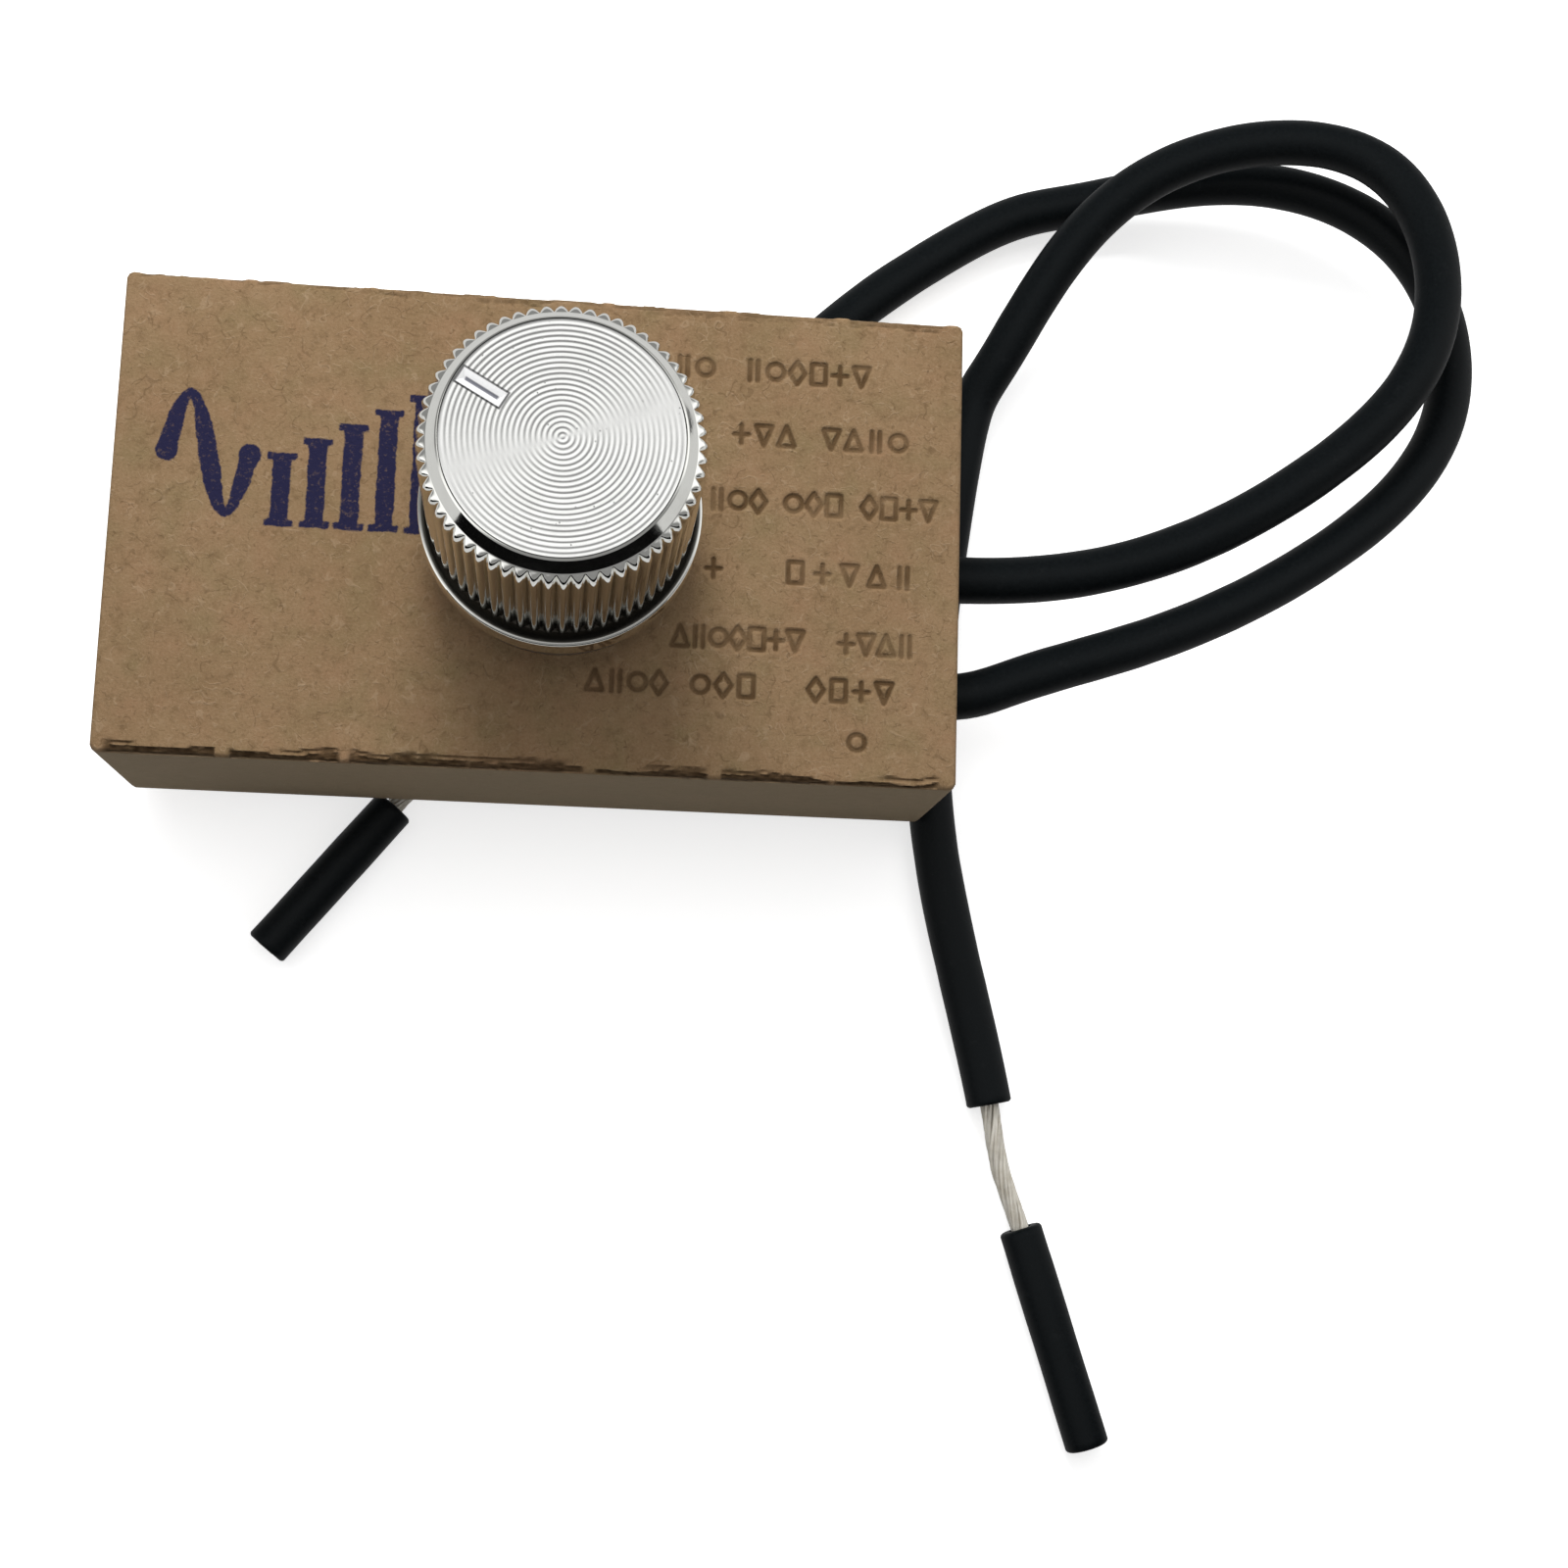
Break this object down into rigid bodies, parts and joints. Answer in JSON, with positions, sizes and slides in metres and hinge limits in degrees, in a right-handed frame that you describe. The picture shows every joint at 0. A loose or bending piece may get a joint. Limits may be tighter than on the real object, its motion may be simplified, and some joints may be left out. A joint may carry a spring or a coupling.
{
  "type": "rotary lamp dimmer switch",
  "caption": "Small in-line rotary lamp dimmer: fibre-board box, knurled push-on knob on a threaded panel bushing, two flexible leads.",
  "frame": {"origin": "where the knob's axis crosses the front face of the box", "axes": "+Z out of the box along the knob's axis, +X along the box's long side towards the lead exits, +Y across the box"},
  "size_m": [0.0792, 0.0798, 0.031],
  "materials": {
    "fibre_board": "uncoated brown fibre board, fine speckle, matte",
    "plated_brass": "nickel-plated, satin",
    "spring_steel": "spring steel, satin",
    "zinc_steel": "zinc-plated sheet, satin",
    "phenolic": "brown phenolic paper laminate",
    "carbon_film": "matte carbon film",
    "tinned_copper": "tinned, slightly dull",
    "black_moulding": "fine moulded texture",
    "white_moulding": "natural nylon",
    "laminate": "phenolic board with printed solder mask",
    "solder": "smooth solder",
    "aluminium_sheet": "rolled sheet",
    "capacitor_case": "moulded case",
    "resistor_body": "lacquered, coloured rings",
    "diac_body": "painted glass",
    "ferrite": "pressed ferrite",
    "enamelled_copper": "enamelled copper wire",
    "contact_brass": "rolled spring brass",
    "black_pvc": "matte extruded insulation",
    "tinned_strands": "twisted tinned strands",
    "knob_chrome": "metallised plastic, bright",
    "knob_disc": "spun, concentric turning marks"
  },
  "bodies": {
    "base": {"front_tray": "fibre_board", "rear_cover": "fibre_board", "threaded_bushing": "plated_brass", "lock_washer": "spring_steel", "hex_nut": "plated_brass", "control_housing": "zinc_steel", "track_wafer": "phenolic", "resistance_track": "carbon_film", "track_terminals": "tinned_copper", "switch_housing": "black_moulding", "switch_contacts": "plated_brass", "lever_pivot_pin": "plated_brass", "circuit_board": "laminate", "solder_joints": "solder", "component_wires": "tinned_copper", "triac_body": "black_moulding", "triac_tab": "tinned_copper", "triac_leads": "tinned_copper", "heat_sink": "aluminium_sheet", "heat_sink_rivet": "aluminium_sheet", "film_capacitor": "capacitor_case", "timing_capacitor": "capacitor_case", "resistors": "resistor_body", "diac": "diac_body", "choke_core": "ferrite", "choke_winding": "enamelled_copper", "lead_a_insulation": "black_pvc", "lead_a_conductor": "tinned_strands", "lead_a_end_sleeve": "black_pvc", "lead_b_insulation": "black_pvc", "lead_b_conductor": "tinned_strands", "lead_b_end_sleeve": "black_pvc"},
    "spindle": {"shaft": "plated_brass", "retaining_clip": "spring_steel", "wiper_rotor": "black_moulding", "wiper_contact": "contact_brass", "switch_driver": "white_moulding"},
    "switch_rocker": {"switch_lever": "white_moulding", "moving_contact": "contact_brass"},
    "knob": {"knob_shell": "knob_chrome", "knob_top_disc": "knob_disc", "knob_grip_spring": "spring_steel"}
  },
  "joints": [
    {"name": "knob_turn", "type": "hinge", "parent": "base", "child": "spindle", "pos_m": [0, 0, 0], "axis": [0, 0, 1], "range_deg": [-210, 90]},
    {"name": "knob_pull", "type": "slide", "parent": "spindle", "child": "knob", "axis": [0, 0, 1], "range_m": [0, 0.018]},
    {"name": "switch_throw", "type": "hinge", "parent": "base", "child": "switch_rocker", "pos_m": [0, 0.0055, -0.0075], "axis": [0, 0, 1], "range_deg": [-24, 0]}
  ]
}
